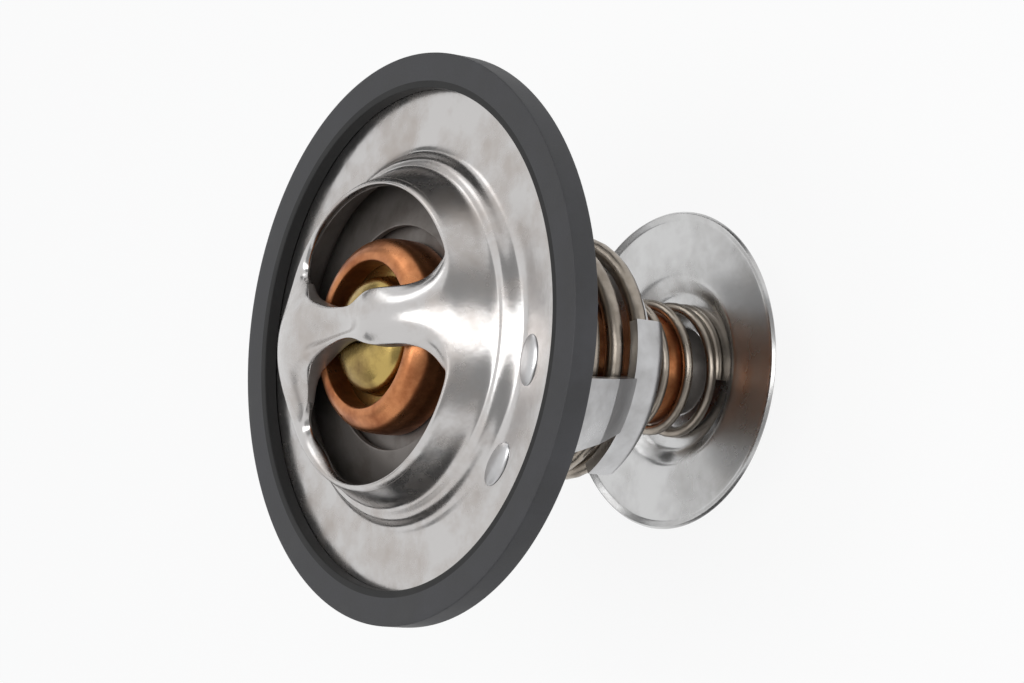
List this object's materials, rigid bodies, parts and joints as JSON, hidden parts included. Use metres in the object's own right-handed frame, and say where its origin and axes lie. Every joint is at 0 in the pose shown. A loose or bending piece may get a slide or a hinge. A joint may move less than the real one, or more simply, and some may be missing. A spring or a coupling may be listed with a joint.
{
  "type": "engine thermostat",
  "caption": "Wax-element engine thermostat: rubber-sealed flange with a bridge, main valve on a copper capsule, sprung lower frame and a sprung bypass disc.",
  "frame": {"origin": "centre of the bypass disc's flat underside, on the axis", "axes": "+Z along the axis towards the bridge, +X along the bridge"},
  "size_m": [0.067, 0.067, 0.0534],
  "materials": {
    "stainless": "polished and satin stainless sheet",
    "frame_steel": "satin stainless sheet",
    "disc_steel": "mirror satin stainless sheet",
    "piston_steel": "ground stainless rod",
    "spring_steel": "drawn spring wire, warm grey",
    "copper": "drawn copper, lightly tarnished",
    "brass": "turned brass",
    "seal_rubber": "matt dark grey moulded rubber",
    "sleeve_rubber": "black moulded rubber",
    "white_plastic": "white low-friction plastic",
    "wax": "wax filled with copper powder"
  },
  "bodies": {
    "housing": {"flange_bridge": "stainless", "seat_ring": "stainless", "rubber_seal": "seal_rubber", "lower_frame": "frame_steel", "piston": "piston_steel", "main_spring": "spring_steel"},
    "element": {"wax_capsule": "copper", "guide": "brass", "backup_ring": "white_plastic", "rubber_sleeve": "sleeve_rubber", "wax_charge": "wax", "main_valve_plate": "stainless", "bypass_stem": "piston_steel", "stem_clip": "spring_steel", "bypass_retainer": "frame_steel", "bypass_spring": "spring_steel"},
    "bypass": {"bypass_disc": "disc_steel"}
  },
  "joints": [
    {"name": "main_valve_slide", "type": "slide", "parent": "housing", "child": "element", "axis": [0, 0, -1], "range_m": [0, 0.008], "stiffness_N_per_m": 6000, "springref_m": -0.01, "deforming": ["main_spring"]},
    {"name": "bypass_slide", "type": "slide", "parent": "element", "child": "bypass", "axis": [0, 0, 1], "range_m": [0, 0.0035], "stiffness_N_per_m": 3000, "springref_m": -0.004, "deforming": ["bypass_spring"]}
  ]
}
